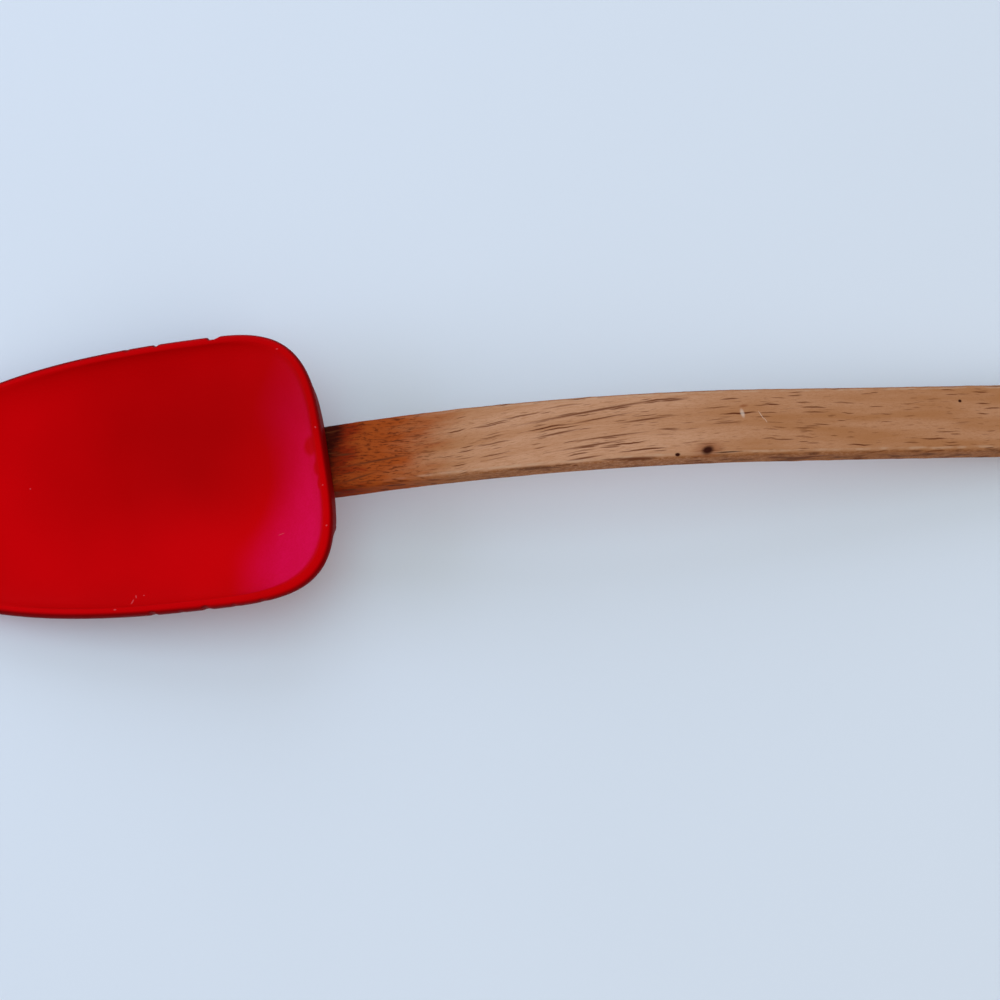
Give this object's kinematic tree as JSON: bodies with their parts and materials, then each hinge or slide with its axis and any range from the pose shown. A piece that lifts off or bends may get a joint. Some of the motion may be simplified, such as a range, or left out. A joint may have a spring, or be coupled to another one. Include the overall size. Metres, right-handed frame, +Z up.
{
  "type": "silicone spoon spatula",
  "caption": "Spoon spatula with a shallow moulded silicone scoop over a stiff inner core, pulled onto the tenon of a bent flat wooden handle.",
  "frame": {"origin": "centre of the bounding box on the surface that the spatula lies on", "axes": "+X from the scoop's tip to the handle's end, +Y across the scoop, +Z up out of the bowl"},
  "size_m": [0.3042, 0.0642, 0.0263],
  "materials": {
    "silicone": "satin moulded silicone, red",
    "core_nylon": "matt glass-filled nylon, dark grey",
    "beech": "worn oiled beech"
  },
  "bodies": {
    "scoop": {"silicone_head": "silicone", "head_core": "core_nylon"},
    "handle": {"handle": "beech"}
  },
  "joints": [
    {"name": "handle_pull_out", "type": "slide", "parent": "scoop", "child": "handle", "axis": [0.9706, 0, 0.2407], "range_m": [0, 0.045]}
  ]
}
